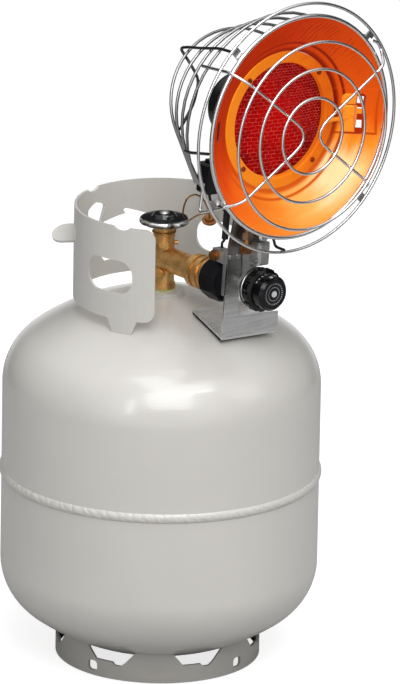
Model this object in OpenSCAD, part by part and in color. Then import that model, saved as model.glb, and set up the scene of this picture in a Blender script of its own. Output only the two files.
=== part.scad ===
// Tank-top infrared propane heater on its 20 lb gas cylinder.
// Frame: origin at the centre of the foot ring's underside, +Z up, the heater faces -Y.
// Heater parts are written as (x, up, forward), measured from the valve outlet's axis:
// x sideways, up above the outlet axis, forward from the cylinder's axis towards -Y.

/* [Cylinder] */
// Outside diameter of the gas cylinder
tank_d = 310; // [290:1:330]
// Plate thickness of the two heads
tank_wall = 3; // [2:0.5:5]
// Height of the lower head's tangent line
lower_tangent_z = 97; // [90:1:110]
// Height of the upper head's tangent line
upper_tangent_z = 276; // [240:1:320]
// Height of the girth weld
weld_z = 188; // [160:1:210]
// Radius of a head's crown
crown_r = 220; // [200:1:240]
// Radius of a head's knuckle
knuckle_r = 60; // [50:1:75]
// Width of the girth weld bead
weld_w = 9.5; // [6:0.5:14]
// How far the weld bead stands proud
weld_proud = 2.2; // [1:0.1:3]

/* [Foot ring] */
// Outside diameter of the foot ring
foot_d = 200; // [180:1:220]
// Plate thickness of the foot ring
foot_wall = 3; // [2:0.5:5]
// Number of drain windows round the ring
foot_windows = 7; // [5:1:8]
// Width of a window at its top
window_top_w = 55; // [40:1:58]
// Width of a window at its bottom
window_bottom_w = 32; // [20:1:38]
// Height of a window's bottom edge
window_z = 17.5; // [14:0.5:22]

/* [Collar] */
// Outside diameter of the valve collar
collar_d = 175; // [165:1:190]
// Plate thickness of the collar
collar_wall = 2.6; // [2:0.1:4]
// Height of the collar's top edge
collar_top_z = 456; // [440:1:480]
// Angle left open in front of the valve outlet
collar_gap = 90; // [70:1:110]
// Height of the scalloped bottom edge between the feet
scallop_z = 363; // [358:1:370]
// Width of the hand holes
hand_hole_w = 53; // [40:1:60]
// Height of the hand holes
hand_hole_h = 33; // [26:1:40]
// How far the hand flap reaches out
flap_reach = 26; // [18:1:32]

/* [Cylinder valve] */
// Height of the outlet axis
outlet_z = 402.5; // [396:0.5:408]
// Diameter of the valve's upright barrel
barrel_d = 20.8; // [18:0.2:24]
// Diameter of the outlet branch
branch_d = 24; // [22:0.5:28]
// Diameter over the outlet's coarse thread
thread_d = 33.3; // [32:0.1:36]
// Distance from the cylinder's axis to the outlet's end
outlet_len = 88; // [84:1:92]
// Diameter of the outlet's bore
outlet_bore_d = 16; // [12:0.5:20]
// Diameter of the handwheel
wheel_d = 49; // [40:1:60]
// Height of the handwheel's grip edge
wheel_h = 9.5; // [8:0.5:12]
// Number of finger scallops on the handwheel
wheel_scallops = 5; // [4:1:8]
// Diameter of the valve's spindle
spindle_d = 6; // [5:0.5:7]
// Lift of the seat disc from shut to open
seat_lift = 3; // [2:0.5:4]

/* [Regulator] */
// Turn of the whole heater about the outlet axis
heater_roll = 4; // [0:0.5:6]
// Width of the coupling nut over its corners
nut_d = 42; // [40:0.5:46]
// Where the coupling nut starts
nut_back = 74.5; // [70:0.5:76]
// Where the coupling nut ends
nut_front = 98; // [96:0.5:98.5]
// Sideways place of the control axis
knob_x = 12; // [10:0.5:14]
// Diameter of the knob's grip ring
knob_d = 43; // [38:0.5:44]
// Diameter of the knob's cap
cap_d = 34.5; // [30:0.5:38]
// Length of the knob
knob_len = 22.5; // [19:0.5:28]
// Travel of the knob when it is pushed to light the burner
push_travel = 4; // [2:0.5:4.5]
// Diameter of the control shaft
shaft_d = 8; // [6:0.5:9]

/* [Bracket] */
// Thickness of the bracket's steel sheet
sheet_t = 2; // [1.5:0.1:2.5]
// Width of the upright strip
strip_w = 17.3; // [15:0.1:19]
// Width of the foot of the bracket
base_w = 69; // [60:1:80]
// Height of the foot's front edge
base_h = 21; // [16:0.5:26]
// Depth of the foot plate that lies on the shoulder
plate_len = 50; // [40:1:56]
// Slope of the foot plate
plate_slope = 20; // [14:0.5:22]
// Thickness of the rubber pad
pad_t = 3; // [2:0.5:4]

/* [Burner] */
// Height of the burner's axis above the outlet axis
head_up = 174.2; // [165:0.2:185]
// Distance from the cylinder's axis to the dish's rim
rim_forward = 183; // [178:0.5:190]
// Diameter of the dish at its rim
dish_d = 217; // [205:1:225]
// Depth of the dish's parabola at its centre
dish_depth = 45.8; // [40:0.2:50]
// Sheet thickness of the dish
dish_t = 1.2; // [0.8:0.1:2]
// Diameter of the glowing screen
emitter_d = 113; // [100:1:116]
// Outside diameter of the bezel round the screen
bezel_d = 135; // [126:1:138]
// Diameter of the mixing drum behind the dish
drum_d = 64; // [56:1:70]
// How far the drum reaches behind the rim
drum_back = 103; // [90:1:110]

/* [Guard] */
// Thickness of the guard's wires
wire_d = 3; // [2.4:0.1:3.4]
// Diameter of the guard's outer ring
outer_ring_d = 243; // [238:1:248]
// Diameter of the large front ring
large_ring_d = 183; // [170:1:190]
// Diameter of the middle front ring
middle_ring_d = 130; // [115:1:140]
// Diameter of the small front ring
small_ring_d = 74; // [60:1:85]
// How far the front rings stand before the rim
guard_stand = 20; // [15:0.5:26]
// How far the outer ring lies behind the rim
outer_ring_back = 3; // [2:0.5:5]
// Angle of the hairpins' legs from level
hairpin_angle = 35.5; // [31:0.5:40]
// Half width of the widest rear arc
rear_arc_r = 98; // [94:0.5:102]
// How far below the burner's axis the rear arcs end
rear_drop = 63; // [58:1:68]

/* [Hidden] */

$fn = 64;
eps = 0.01;
touch_gap = 0.3;      // between pieces that lie against each other
seat_gap = 0.02;      // between curved pieces that are welded together
running_gap = 0.05;   // radial play of a shaft in its bore
wire_r = wire_d / 2;
tank_r = tank_d / 2;
collar_r = collar_d / 2;
head_h = crown_r - sqrt(pow(crown_r - knuckle_r, 2) - pow(tank_r - knuckle_r, 2));
apex_z = upper_tangent_z + head_h;
bottom_z = lower_tangent_z - head_h;
paint = [0.78, 0.76, 0.73];
brass = [0.72, 0.53, 0.26];
steel = [0.72, 0.72, 0.71];
black = [0.07, 0.07, 0.08];
casting = [0.50, 0.50, 0.50];

// ---------- shared helpers ----------

// (x, up, forward) from the outlet axis, without the heater's roll
module outlet_frame() { translate([0, 0, outlet_z]) rotate([90, 0, 0]) children(); }

// the same, rolled with the heater
module heater() {
    translate([0, 0, outlet_z]) rotate([0, heater_roll, 0]) rotate([90, 0, 0]) children();
}

// centre of the dish's rim, with z pointing forward out of the dish
module dish() { heater() translate([0, head_up, rim_forward]) children(); }

module tube(r_out, r_in, h) {
    difference() {
        cylinder(r = r_out, h = h);
        translate([0, 0, -1]) cylinder(r = r_in, h = h + 2);
    }
}

// ring of round wire in the plane z = 0
module wire_ring(r) { rotate_extrude($fn = 96) translate([r, 0]) circle(r = wire_r, $fn = 24); }

// slot or hand hole with round corners, drilled along z
module round_box(w, h, r, depth) {
    translate([-w / 2 + r, -h / 2, 0]) cube([w - 2 * r, h, depth]);
    translate([-w / 2, -h / 2 + r, 0]) cube([w, h - 2 * r, depth]);
    for (x = [-1, 1], y = [-1, 1])
        translate([x * (w / 2 - r), y * (h / 2 - r), 0]) cylinder(r = r, h = depth);
}

// children placed on the cylinder's side: angle 0 is the front (-Y), positive towards +X,
// local z points outwards, local y up
module on_side(angle, r, z) {
    rotate([0, 0, angle]) translate([0, -r, z]) rotate([90, 0, 0]) children();
}

function unit(v) = v / norm(v);

// a path whose corners are rounded: each inner point becomes a short curve
function rounded(p, setback, steps = 4) = [
    for (i = [0 : len(p) - 1])
        if (i == 0 || i == len(p) - 1) p[i]
        else let (a = unit(p[i - 1] - p[i]), b = unit(p[i + 1] - p[i]),
                  set = is_list(setback) ? setback[i] : setback,
                  s = min(set, 0.45 * norm(p[i - 1] - p[i]), 0.45 * norm(p[i + 1] - p[i])))
            for (k = [0 : steps]) let (t = k / steps)
                pow(1 - t, 2) * (p[i] + s * a) + 2 * t * (1 - t) * p[i] + t * t * (p[i] + s * b)
];

function heading(p, i) = unit(p[min(i + 1, len(p) - 1)] - p[max(i - 1, 0)]);
function square_to(v, t) = unit(v - (v * t) * t);
function sides(p) = [
    for (i = 0, s = square_to([0.31, 0.52, 0.79], heading(p, 0)); i < len(p);
         i = i + 1, s = square_to(s, heading(p, min(i, len(p) - 1)))) s
];

// round wire or tube swept along a path
module swept(p, r, n = 8) {
    s = sides(p);
    ring = [for (i = [0 : len(p) - 1]) let (t = heading(p, i), u = s[i], w = cross(t, u))
            for (k = [0 : n - 1]) p[i] + r * (cos(360 * k / n) * u + sin(360 * k / n) * w)];
    last = len(p) - 1;
    faces = concat(
        [[for (k = [0 : n - 1]) k]],
        [[for (k = [n - 1 : -1 : 0]) last * n + k]],
        [for (i = [0 : last - 1], k = [0 : n - 1])
            [i * n + k, (i + 1) * n + k, (i + 1) * n + (k + 1) % n, i * n + (k + 1) % n]]);
    polyhedron(points = ring, faces = faces, convexity = 6);
}

// ---------- gas cylinder ----------

// half profile of a head: crown arc, then knuckle arc, moved inwards by a wall
crown_arc = asin((tank_r - knuckle_r) / (crown_r - knuckle_r));
arc_steps = 18;
function head_points(inset) = concat(
    [for (k = [0 : arc_steps]) let (a = crown_arc * k / arc_steps)
        [(crown_r - inset) * sin(a), head_h - crown_r + (crown_r - inset) * cos(a)]],
    [for (k = [1 : arc_steps]) let (a = crown_arc + (90 - crown_arc) * k / arc_steps)
        [tank_r - knuckle_r + (knuckle_r - inset) * sin(a), (knuckle_r - inset) * cos(a)]]);

// head with its straight flange of a height below the tangent line
module head_solid(inset, flange = 0) {
    rotate_extrude($fn = 180) polygon(concat(head_points(inset),
        [[tank_r - inset, -flange], [0, -flange]]));
}

module upper_shell() color(paint) {
    flange = upper_tangent_z - weld_z;
    difference() {
        translate([0, 0, upper_tangent_z]) head_solid(0, flange);
        translate([0, 0, upper_tangent_z]) head_solid(tank_wall, flange + 1);
        translate([0, 0, apex_z - 20]) cylinder(r = boss_r + seat_gap, h = 40);
    }
}

module lower_shell() color(paint) {
    flange = weld_z - lower_tangent_z;
    translate([0, 0, lower_tangent_z]) mirror([0, 0, 1]) difference() {
        head_solid(0, flange);
        head_solid(tank_wall, flange + 1);
    }
}

module girth_weld() color(paint) {
    bead_r = (pow(weld_w / 2, 2) + weld_proud * weld_proud) / (2 * weld_proud);
    rotate_extrude($fn = 180) difference() {
        translate([tank_r + weld_proud - bead_r, weld_z]) circle(r = bead_r, $fn = 48);
        translate([tank_r + seat_gap - 2 * bead_r, weld_z - 2 * bead_r])
            square([2 * bead_r, 4 * bead_r]);
    }
}

boss_r = 22;
boss_top = apex_z + 3.5;
shank_d = 19;
module valve_boss() color(paint) {
    translate([0, 0, apex_z - 8]) difference() {
        union() {
            cylinder(r = boss_r, h = 9);
            cylinder(r = boss_r - 2.5, h = boss_top - apex_z + 8);
        }
        translate([0, 0, -1]) cylinder(d = shank_d + 2 * running_gap, h = 30);
    }
}

foot_hole_w = 11;
module foot_ring() color(paint) {
    pitch = 360 / foot_windows;
    depth = 4 * foot_wall;
    foot_r = foot_d / 2;
    difference() {
        tube(foot_r, foot_r - foot_wall, lower_tangent_z - head_h / 2);
        translate([0, 0, lower_tangent_z - seat_gap]) mirror([0, 0, 1]) head_solid(0);
        translate([0, 0, lower_tangent_z - 1]) cylinder(r = tank_r, h = head_h);
        for (k = [0 : foot_windows - 1])
            on_side(-67 + k * pitch, foot_r - depth / 2, 0)
                linear_extrude(depth) polygon([[-window_bottom_w / 2, window_z],
                    [window_bottom_w / 2 - 14, window_z], [window_bottom_w / 2 - 11, window_z - 3],
                    [window_bottom_w / 2 - 5, window_z - 3], [window_bottom_w / 2, window_z + 1],
                    [window_top_w / 2, window_z + 14], [window_top_w / 2, 60],
                    [-window_top_w / 2, 60], [-window_top_w / 2, window_z + 14]]);
        for (k = [0 : 3])
            on_side(11.5 + 90 * k, foot_r - depth / 2, 10)
                round_box(foot_hole_w, foot_hole_w - 1, 3.5, depth);
    }
}

// four scallops leave four feet that stand on the shoulder
collar_feet = [-67, 67, 150, -150];
foot_tab_w = 21;
module collar() color(paint) {
    z0 = apex_z - (crown_r - sqrt(pow(crown_r, 2) - pow(collar_r, 2))) - 4;
    depth = 14;
    half = collar_gap / 2;
    difference() {
        union() {
            intersection() {
                translate([0, 0, z0]) tube(collar_r, collar_r - collar_wall, collar_top_z - z0);
                union() {
                    translate([0, 0, scallop_z]) cylinder(r = collar_r + 1, h = 200);
                    for (a = collar_feet) on_side(a, collar_r - depth, z0 - 1)
                        linear_extrude(2 * depth) polygon([[-foot_tab_w / 2, 0],
                            [foot_tab_w / 2, 0], [foot_tab_w / 2, 6],
                            [foot_tab_w / 2 + 6, scallop_z - z0 + 2],
                            [-foot_tab_w / 2 - 6, scallop_z - z0 + 2], [-foot_tab_w / 2, 6]]);
                }
            }
            hand_flap();
        }
        // crown of the upper head
        translate([0, 0, apex_z - crown_r]) sphere(r = crown_r + seat_gap, $fn = 180);
        // front gap
        rotate([0, 0, -90]) linear_extrude(3 * collar_top_z)
            polygon([[0, 0], [3 * collar_r * cos(half), -3 * collar_r * sin(half)],
                     [6 * collar_r, 0], [3 * collar_r * cos(half), 3 * collar_r * sin(half)]]);
        // hand holes left, right and rear
        on_side(-77.5, collar_r - depth / 2, hand_z) round_box(hand_hole_w, hand_hole_h, 14, depth);
        on_side(101, collar_r - depth / 2, hand_z - 3)
            round_box(hand_hole_w, hand_hole_h, 14, depth);
        // rear opening with a slanting end and a small notch
        on_side(166, collar_r - depth, hand_z) linear_extrude(2 * depth)
            polygon([[-24, -28], [-29, -22], [-30, 8], [-26, 13], [-19.5, 16], [-4.5, 21],
                     [1.5, 22.5], [3.4, 21.5], [3, 19.5], [1, 17.5], [27.5, 12.5], [29, 10],
                     [29, -22], [25, -28]]);
        // shallow notches in the top edge
        for (a = [-165, -68, 68]) on_side(a, collar_r - depth / 2, collar_top_z + 9)
            cylinder(r = 12.5, h = depth);
        // rounded corners of the front gap
        for (s = [-1, 1]) on_side(s * (half + 0.02), collar_r - depth / 2, collar_top_z)
            gap_corner(s, -gap_corner_r, depth);
        for (s = [-1, 1]) on_side(s * (half + 0.02), collar_r - depth / 2, scallop_z)
            gap_corner(s, gap_corner_r, depth);
        // opening that the hand flap was folded out of
        on_side(-168, collar_r - depth, flap_z) linear_extrude(2 * depth)
            polygon([[-13, 17], [-7.6, 2], [8, 2], [13.5, 13], [12.7, 17.5], [6.4, 20.5],
                     [0, 22.5], [-10, 19.5]]);
    }
}

// what is cut off at a corner of the gap: a square less a quarter disc
gap_corner_r = 11;
module gap_corner(side, rise, depth) {
    linear_extrude(depth) difference() {
        translate([side > 0 ? -1 : -gap_corner_r, rise > 0 ? -1 : rise])
            square([gap_corner_r + 1, gap_corner_r + 1]);
        translate([side * gap_corner_r, rise]) circle(r = gap_corner_r);
    }
}

hand_z = 405.5;
flap_z = 418;
flap_w = 26;
// rounded tongue folded outwards from the collar
module hand_flap() {
    on_side(-147, collar_r - collar_wall + 0.4, flap_z) rotate([8, 0, 0]) rotate([0, 0, -24])
        translate([0, collar_wall / 2, 0]) rotate([90, 0, 0]) {
            translate([-flap_w / 2, 0, 0]) cube([flap_w, flap_reach + collar_wall - flap_w / 2, collar_wall]);
            translate([0, flap_reach + collar_wall - flap_w / 2, 0]) cylinder(d = flap_w, h = collar_wall);
        }
}

// ---------- cylinder valve ----------

body_z = boss_top + 1.5;
seat_z = outlet_z - 7;
bonnet_z = outlet_z + 21.5;
bonnet_h = 13;
chamber_r = 6;
groove = 1.6;
module valve_body() color(brass) {
    difference() {
        union() {
            translate([0, 0, body_z]) cylinder(d = barrel_d, h = bonnet_z - body_z);
            translate([0, 0, body_z]) cylinder(d = barrel_d + 2.4, h = 5);
            translate([0, 0, body_z - 14]) cylinder(d = shank_d, h = 16);
            outlet_frame() {
                translate([0, 0, 0]) cylinder(d = branch_d, h = 52);
                translate([0, 0, 38]) cylinder(d1 = branch_d, d2 = branch_d + 5.5, h = 13);
                translate([0, 0, 50]) cylinder(d = thread_d, h = 7);
                translate([0, 0, 50]) cylinder(d = thread_d - 2 * groove, h = outlet_len - 50);
                translate([0, 0, 60]) cylinder(d = thread_d, h = 6);
                translate([0, 0, 69]) cylinder(d = thread_d, h = outlet_len - 69);
            }
            // bosses of the relief valve, the bleeder screw and the lanyard lug
            on_side(relief_a, barrel_d / 2 - 3, relief_z) cylinder(r = 5, h = 5);
            on_side(bleeder_a, barrel_d / 2 - 3, bleeder_z) cylinder(r = 4.6, h = 4.6);
            on_side(50, barrel_d / 2 - 2, 418) cylinder(r = 2.2, h = 5.2);
        }
        translate([0, 0, body_z - 20]) cylinder(r = 4, h = seat_z - body_z + 21);
        translate([0, 0, seat_z]) cylinder(r = chamber_r, h = bonnet_z - seat_z + 1);
        outlet_frame() {
            cylinder(r = 4.5, h = 20);
            translate([0, 0, 14]) cylinder(d = outlet_bore_d, h = outlet_len);
        }
        on_side(bleeder_a, barrel_d / 2 - 3.2, bleeder_z)
            cylinder(d = bleeder_d + 2 * running_gap, h = 10);
    }
}
relief_a = -59;
relief_z = 389;
bleeder_a = -39;
bleeder_z = 419;
bleeder_d = 3.4;

module thread_sealant() color([0.45, 0.55, 0.33]) {
    translate([0, 0, boss_top]) tube(barrel_d / 2 + 0.9, shank_d / 2, body_z - boss_top);
}

module relief_cap() color(brass) {
    on_side(relief_a, barrel_d / 2 + 2, relief_z) {
        difference() {
            cylinder(r = 3.6, h = 1.8);
            translate([0, 0, 0.8]) cylinder(r = 1.5, h = 2);
        }
    }
}

module bleeder_screw() color(brass) {
    on_side(bleeder_a, barrel_d / 2 + 1.6 + touch_gap, bleeder_z) difference() {
        union() {
            cylinder(r = 3, h = 2.2);
            translate([0, 0, -4.4]) cylinder(d = bleeder_d, h = 5);
        }
        translate([-4, -0.5, 1.2]) cube([8, 1, 2]);
    }
}

module valve_bonnet() color(brass) {
    translate([0, 0, bonnet_z]) difference() {
        union() {
            cylinder(d = barrel_d - 0.8, h = bonnet_h);
            cylinder(d = barrel_d + 0.8, h = 1.6);
            translate([0, 0, -8]) cylinder(r = chamber_r - running_gap, h = 9);
        }
        translate([0, 0, -9]) cylinder(d = spindle_d + 2 * running_gap, h = bonnet_h + 20);
    }
}

disc_h = 8;
tail_d = 5;
wheel_z = bonnet_z + bonnet_h + 0.7;
module seat_disc() color([0.25, 0.25, 0.26]) {
    translate([0, 0, seat_z]) difference() {
        cylinder(r = chamber_r - running_gap, h = disc_h);
        translate([0, 0, disc_h - 6]) cylinder(d = tail_d + 2 * running_gap, h = 7);
    }
}

module valve_spindle() color(steel) {
    translate([0, 0, seat_z + disc_h + seat_lift + 1])
        cylinder(d = spindle_d, h = wheel_z + wheel_h - seat_z - disc_h - seat_lift - 3);
    translate([0, 0, seat_z + disc_h - 5 + seat_lift]) cylinder(d = tail_d, h = 7);
}

module handwheel() color([0.2, 0.2, 0.21]) {
    scallop_r = 15;
    rim = wheel_d / 2;
    translate([0, 0, wheel_z]) difference() {
        rotate_extrude($fn = 96) polygon([[0, 0], [6.5, 0], [6.5, 3.5], [rim - 4, 3.5],
            [rim - 3.4, 0.6], [rim - 2.4, 0], [rim - 1.2, 0.3], [rim - 0.3, 1.2], [rim, 2.5],
            [rim - 0.3, 4], [rim - 1.3, 5.2], [rim - 3, 5.9], [rim - 6, 6.2], [12.5, 6.6],
            [11, wheel_h - 1], [9.8, wheel_h], [0, wheel_h]]);
        translate([0, 0, -1]) cylinder(d = spindle_d + 0.02, h = wheel_h - 1);
        for (k = [0 : wheel_scallops - 1]) rotate([0, 0, (k + 0.5) * 360 / wheel_scallops])
            translate([rim + scallop_r - 2.6, 0, -1]) cylinder(r = scallop_r, h = 30);
    }
}

module handwheel_screw() color(steel) {
    translate([0, 0, wheel_z + wheel_h]) difference() {
        intersection() {
            cylinder(d = 10, h = 3);
            translate([0, 0, -4]) sphere(r = 6.9);
        }
        translate([-6, -0.6, 1.8]) cube([12, 1.2, 2]);
    }
}

// wire that keeps the outlet's plug on the valve, looped round the bonnet
lanyard_z = bonnet_z + 5;
plug_at = [66.7, 11.7, 423.8];
plug_turn = -130;
plug_lean = 23;
plug_dir = [sin(plug_lean) * cos(plug_turn), sin(plug_lean) * sin(plug_turn), cos(plug_lean)];
eye_at = plug_at + [-2.3, -2.7, 9];
lanyard_out = [[10.9, 1.5, lanyard_z], [19, 3.3, lanyard_z + 1], [26.4, 4.6, 433],
               [27.8, 4.8, 447], [33, 6, 455], [44.5, 7.8, 456.5], [56, 9.8, 450], [62.6, 10, 439],
               eye_at, plug_at + 4.5 * plug_dir];
lanyard_back = [eye_at, [50.9, 8.9, 434.6], [33.4, 5.8, 430.5], [21, 2.5, lanyard_z],
                [10.8, -1.5, lanyard_z]];
module lanyard() color(brass) {
    swept(rounded(lanyard_out, 6, 3), 0.9, 6);
    swept(rounded(lanyard_back, 6, 3), 0.9, 6);
    translate([0, 0, lanyard_z]) rotate_extrude() translate([(barrel_d - 0.8) / 2 + 1, 0])
        circle(r = 0.9, $fn = 16);
}

module outlet_plug() color(brass) {
    translate(plug_at) rotate([0, plug_lean, plug_turn]) {
        cylinder(d = 14.6, h = 2);
        translate([0, 0, 2]) cylinder(d1 = 10, d2 = 8, h = 2.4);
    }
}

// ---------- coupling and regulator ----------

nipple_d = 17;
flange_f = outlet_len + 0.6;
module coupling_nut() color(black) outlet_frame() {
    difference() {
        intersection() {
            translate([0, 0, nut_back]) rotate([0, 0, 22.5])
                cylinder(d = nut_d, h = nut_front - nut_back, $fn = 8);
            translate([0, 0, nut_back]) cylinder(d1 = nut_d - 5, d2 = nut_d + 28, h = 24);
            translate([0, 0, nut_back - 8]) cylinder(d1 = nut_d + 28, d2 = nut_d - 4,
                                                    h = nut_front - nut_back + 8);
        }
        translate([0, 0, nut_back - 1])
            cylinder(d = thread_d + 2 * running_gap, h = flange_f + 2.4 - nut_back + 1);
        translate([0, 0, nut_back]) cylinder(d = nipple_d + 2 * running_gap, h = 30);
    }
}

module inlet_nipple() color(brass) outlet_frame() difference() {
    union() {
        translate([0, 0, 66]) cylinder(d1 = outlet_bore_d - 4, d2 = outlet_bore_d - 0.2, h = 6);
        translate([0, 0, 72]) cylinder(d = outlet_bore_d - 0.2, h = 18);
        translate([0, 0, flange_f]) cylinder(d = 26, h = 2);
        translate([0, 0, flange_f]) cylinder(d = nipple_d, h = body_f - flange_f);
    }
    translate([0, 0, 60]) cylinder(d = 4, h = 60);
}

body_f = nut_front + touch_gap;
strip_f = body_f + 4.7;
block_x = 8;
block_w = 14;
block_top = 45;
block_low = 22.3;
block_back = 106.7;
block_f = 131;
bezel_f = 122.5;
boss_d = 15;
module regulator_body() color(casting) heater() difference() {
    union() {
        // plate behind the strip, with the arm of the pressure tap
        translate([0, 0, body_f]) linear_extrude(strip_f - body_f) {
            translate([strip_left, -12]) square([31, 43]);
            translate([strip_left - 3, 20]) square([12, 13]);
        }
        translate([-13, 21, 86]) cube([11, 12, strip_f - 86]);
        // web and control barrel beside the strip
        translate([9.5, -8, strip_f - eps]) cube([block_w - 5.5, block_top + 6, 13]);
        translate([knob_x, 0, strip_f - eps]) cylinder(d = boss_d, h = bezel_f - strip_f + eps);
        // valve block above the knob
        hull() {
            translate([block_x, block_low, block_back])
                cube([block_w, block_top - block_low, block_f - block_back - 3]);
            translate([block_x + 2, block_low + 2, block_back])
                cube([block_w - 4, block_top - block_low - 4, block_f - block_back]);
        }
        translate([block_x + block_w / 2, block_low + 2, 111]) rotate([90, 0, 0])
            cylinder(d = 10, h = 22);
    }
    translate([0, 0, body_f - 1]) cylinder(d = 4, h = 3.5);
    translate([knob_x, 0, rod_f]) cylinder(d = rod_d + 2 * running_gap, h = 60);
    translate([knob_x, 0, shaft_f - push_travel - 0.5])
        cylinder(d = shaft_d + 2 * running_gap, h = 60);
}

cover_f = block_back + 1;
module regulator_cover() color(casting) heater() difference() {
    translate([block_x - 1.5, block_low + 2, cover_f])
        cube([1.5, block_top - block_low - 4, block_f - cover_f - 3.5]);
    // clear of the elbow
    translate([block_x - 2, elbow_up, tube_f]) rotate([0, 90, 0]) cylinder(d = elbow_d + 0.4, h = 3);
}

module magnet_unit() color(steel) heater() {
    translate([block_x + block_w / 2, block_top + 5.5, 108]) {
        cylinder(d = 11, h = 19);
        translate([0, 0, 19]) cylinder(d1 = 11, d2 = 8, h = 2);
        translate([0, 0, -3]) cylinder(d = 6, h = 3);
    }
    translate([block_x + block_w / 2 - 3, block_top, 112]) cube([6, 2, 10]);
}

// elbow from the valve block to the jet, and the plug of the pressure tap
module gas_fittings() color(brass) heater() {
    translate([tube_x, elbow_up, tube_f]) difference() {
        union() {
            rotate([0, 90, 0]) translate([0, 0, -4]) cylinder(d = elbow_d, h = block_x - tube_x + 4);
            rotate([-90, 0, 0]) cylinder(d = 7, h = block_top + 2 - elbow_up);
        }
        rotate([0, 90, 0]) translate([0, 0, -5]) cylinder(d = 4, h = 2);
    }
    translate([-13, 27, 92]) rotate([0, -90, 0]) {
        cylinder(d = 11, h = 4, $fn = 6);
        cylinder(d = 7.5, h = 6.5);
    }
}

bezel_t = 2;
bezel_ring_d = 40;
module dial_bezel() color(steel) heater() translate([knob_x, 0, bezel_f]) difference() {
    union() {
        cylinder(d = bezel_ring_d, h = bezel_t - 0.6);
        cylinder(d1 = bezel_ring_d - 1, d2 = bezel_ring_d - 4, h = bezel_t);
    }
    translate([0, 0, -1]) cylinder(d = shaft_d + 1, h = 5);
}

knob_f = bezel_f + bezel_t + push_travel + 1;
knob_ring_len = 8.5;
rod_d = 3;
rod_f = body_f + 2;
shaft_f = bezel_f - 9.5;

// rod that opens the magnet valve when the knob is pushed; it slides and doesn't turn
module push_rod() color(steel) heater()
    translate([knob_x, 0, rod_f + push_travel + 0.5])
        cylinder(d = rod_d, h = knob_f + 8 - rod_f - push_travel - 0.5);

module control_shaft() color(steel) heater() translate([knob_x, 0, shaft_f]) difference() {
    cylinder(d = shaft_d, h = knob_f + knob_len - 6.5 - shaft_f);
    translate([0, 0, -1]) cylinder(d = rod_d + 2 * running_gap, h = knob_f + 9 - shaft_f);
}

module control_knob() color(black) heater() translate([knob_x, 0, knob_f]) difference() {
    union() {
        cylinder(d = knob_d, h = knob_ring_len - 2);
        translate([0, 0, knob_ring_len - 2]) cylinder(d1 = knob_d, d2 = cap_d + 1, h = 2);
        cylinder(d = cap_d, h = knob_len - 3);
        translate([0, 0, knob_len - 3]) cylinder(d1 = cap_d, d2 = cap_d - 5, h = 3);
    }
    for (k = [0 : 13]) rotate([0, 0, 360 / 14 * k]) translate([knob_d / 2 + 1.9, 0, -1])
        cylinder(r = 3.2, h = knob_ring_len + 1);
    translate([0, 0, -1]) tube(knob_d / 2 - 4.5, 8, knob_ring_len);
    translate([0, 0, -1]) cylinder(d = shaft_d + 0.02, h = knob_len - 5);
    translate([0, 0, knob_len - 1]) cylinder(d = cap_d - 8.2, h = 2);
}

module knob_cap() color(black) heater()
    translate([knob_x, 0, knob_f + knob_len - 1]) {
        difference() {
            cylinder(d = cap_d - 8.4, h = 0.8);
            translate([0, 0, 0.4]) tube(10.6, 9.4, 1);
            translate([0, 0, 0.4]) tube(7.2, 6, 1);
        }
        translate([0, 0, 0.7]) cylinder(d = 5.6, h = 0.7);
    }

// ---------- bracket ----------

strip_left = -9;
// the pad's lower face lies on the shoulder's crown
crown_up = (apex_z - crown_r - outlet_z) * cos(heater_roll);
base_low = crown_up + (crown_r + 0.1 + pad_t - (strip_f + sheet_t) * sin(plate_slope))
    / cos(plate_slope);
strip_top = 138;
lean_from = 38;
lean_to = 72;
lean = 6.5;
module bracket() color(steel) heater() difference() {
    union() {
        // strip, leaning forward above the regulator
        rotate([0, 90, 0]) translate([0, 0, strip_left]) linear_extrude(strip_w) polygon([
            [-strip_f, base_low], [-strip_f - sheet_t, base_low],
            [-strip_f - sheet_t, lean_from], [-strip_f - sheet_t - lean, lean_to],
            [-strip_f - sheet_t - lean, strip_top], [-strip_f - lean, strip_top],
            [-strip_f - lean, lean_to], [-strip_f, lean_from]]);
        translate([strip_left, base_low, strip_f]) cube([base_w, base_h, sheet_t]);
        // foot plate on the cylinder's shoulder
        translate([strip_left, base_low, strip_f + sheet_t]) rotate([plate_slope, 0, 0])
            translate([0, 0, -plate_len]) cube([base_w, sheet_t, plate_len]);
        // arm of the tilt switch
        translate([-30, 100, strip_f + lean]) cube([24, 13, sheet_t]);
    }
    translate([knob_x, 0, strip_f - 1]) cylinder(d = boss_d + 2 * touch_gap, h = 4);
    for (x = [-5, 4]) translate([x, 27, strip_f - 1]) cylinder(d = 3.2, h = 5);
}

module foot_pad() color(black) heater()
    translate([strip_left + 1.5, base_low, strip_f + sheet_t]) rotate([plate_slope, 0, 0])
        translate([0, -pad_t, -plate_len]) cube([base_w - 10, pad_t, plate_len - sheet_t - 0.7]);

// screws of the bracket and of the valve block's cover
module regulator_screws() color(steel) heater() {
    for (x = [-5, 4]) translate([x, 27, strip_f]) {
        cylinder(d = 3.2, h = sheet_t);
        translate([0, 0, sheet_t]) cylinder(d1 = 6, d2 = 5, h = 1.6);
    }
    for (f = [block_f - 10.5, block_f - 4]) translate([block_x - 1.5, block_low + 5.5, f])
        rotate([0, -90, 0]) difference() {
            cylinder(d1 = 5.6, d2 = 4.6, h = 1.8);
            translate([-0.5, -4, 1]) cube([1, 8, 2]);
        }
}

// ---------- burner ----------

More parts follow.
